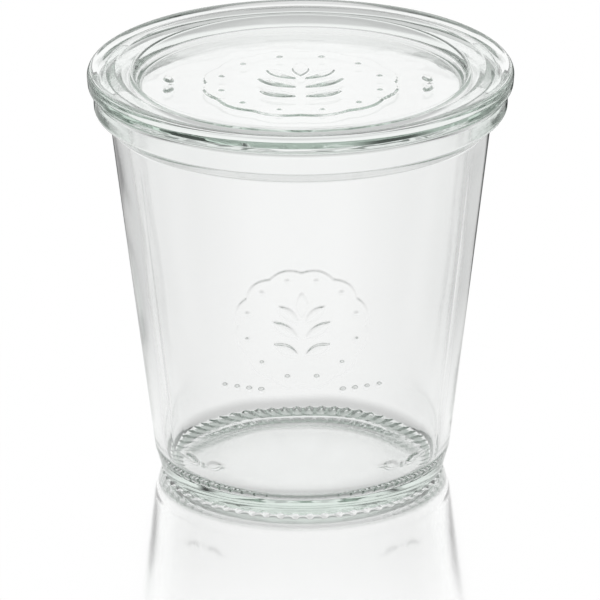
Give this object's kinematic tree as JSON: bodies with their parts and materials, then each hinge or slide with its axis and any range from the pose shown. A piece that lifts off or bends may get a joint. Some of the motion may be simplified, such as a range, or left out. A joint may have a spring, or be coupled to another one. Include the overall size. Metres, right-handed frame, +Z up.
{
  "type": "glass jar",
  "caption": "Tapered clear glass preserving jar with a heavy rim, grooved foot and loose dished glass lid; plain leaf relief on front and lid.",
  "frame": {"origin": "on the jar's axis, at the table it stands on", "axes": "+Z up along the axis of jar and lid; -Y towards the front, where the relief is; +X to the viewer's right"},
  "size_m": [0.09, 0.09, 0.0901],
  "materials": {
    "jar_glass": "clear, fire-polished",
    "lid_glass": "clear, pressed"
  },
  "bodies": {
    "root": {"jar": "jar_glass", "lid": "lid_glass"}
  },
  "joints": []
}
